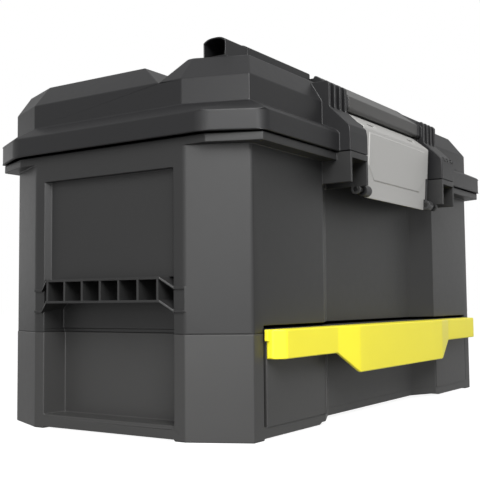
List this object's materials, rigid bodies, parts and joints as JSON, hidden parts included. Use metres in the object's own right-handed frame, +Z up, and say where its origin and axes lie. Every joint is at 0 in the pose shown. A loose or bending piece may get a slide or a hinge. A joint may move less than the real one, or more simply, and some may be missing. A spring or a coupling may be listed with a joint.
{
  "type": "tool box",
  "caption": "Moulded tool box with hinged lid, metal front latch, fold-down handle, lift-out tray and a drawer on ball-bearing slides under the main compartment.",
  "frame": {"origin": "on the floor under the middle of the overall box", "axes": "+Z up, +X along the length to the right seen from the front, front with latch and drawer towards -Y"},
  "size_m": [0.481, 0.279, 0.287],
  "materials": {
    "housing_plastic": "fine textured",
    "lid_plastic": "fine textured",
    "grip_rubber": "matte",
    "pull_plastic": "satin",
    "latch_steel": "satin silver",
    "plain_steel": "zinc plated",
    "dark_plastic": "satin",
    "black_steel": "blackened"
  },
  "bodies": {
    "body": {"base_shell": "housing_plastic", "upper_body": "housing_plastic", "shell_screws": "plain_steel", "slide_outer_left": "plain_steel", "slide_outer_right": "plain_steel", "slide_outer_screws": "plain_steel", "latch_pins": "black_steel", "hinge_pins": "plain_steel"},
    "lid": {"lid_shell": "lid_plastic", "rail_left": "lid_plastic", "rail_right": "lid_plastic", "handle_pins": "plain_steel"},
    "handle": {"handle_frame": "lid_plastic", "handle_grip": "grip_rubber"},
    "latch": {"latch_frame": "dark_plastic", "latch_plate": "latch_steel"},
    "drawer": {"drawer_box": "housing_plastic", "drawer_front": "housing_plastic", "drawer_front_screws": "plain_steel", "drawer_pull": "pull_plastic", "drawer_pull_screws": "plain_steel", "drawer_dividers": "housing_plastic", "slide_inner_left": "plain_steel", "slide_inner_right": "plain_steel", "slide_inner_screws": "plain_steel"},
    "ball_cages": {"ball_cage_left": "plain_steel", "ball_cage_right": "plain_steel", "slide_balls_left": "plain_steel", "slide_balls_right": "plain_steel"},
    "tray": {"tote_tray": "housing_plastic"}
  },
  "joints": [
    {"name": "lid_hinge", "type": "hinge", "parent": "body", "child": "lid", "pos_m": [0, 0.134, 0.20915], "axis": [-1, 0, 0], "range_deg": [0, 100]},
    {"name": "handle_fold", "type": "hinge", "parent": "lid", "child": "handle", "pos_m": [0, 0.002, 0.2765], "axis": [-1, 0, 0], "range_deg": [0, 95]},
    {"name": "latch_turn", "type": "hinge", "parent": "body", "child": "latch", "pos_m": [0, -0.129, 0.183], "axis": [1, 0, 0], "range_deg": [0, 110]},
    {"name": "drawer_slide", "type": "slide", "parent": "body", "child": "drawer", "axis": [0, -1, 0], "range_m": [0, 0.14]},
    {"name": "cage_slide", "type": "slide", "parent": "body", "child": "ball_cages", "axis": [0, -1, 0], "range_m": [0, 0.07]},
    {"name": "tray_lift", "type": "slide", "parent": "body", "child": "tray", "axis": [0, 0, 1], "range_m": [0, 0.04]}
  ],
  "couplings": [
    {"joint": "cage_slide", "follows": "drawer_slide", "ratio": 0.5}
  ]
}
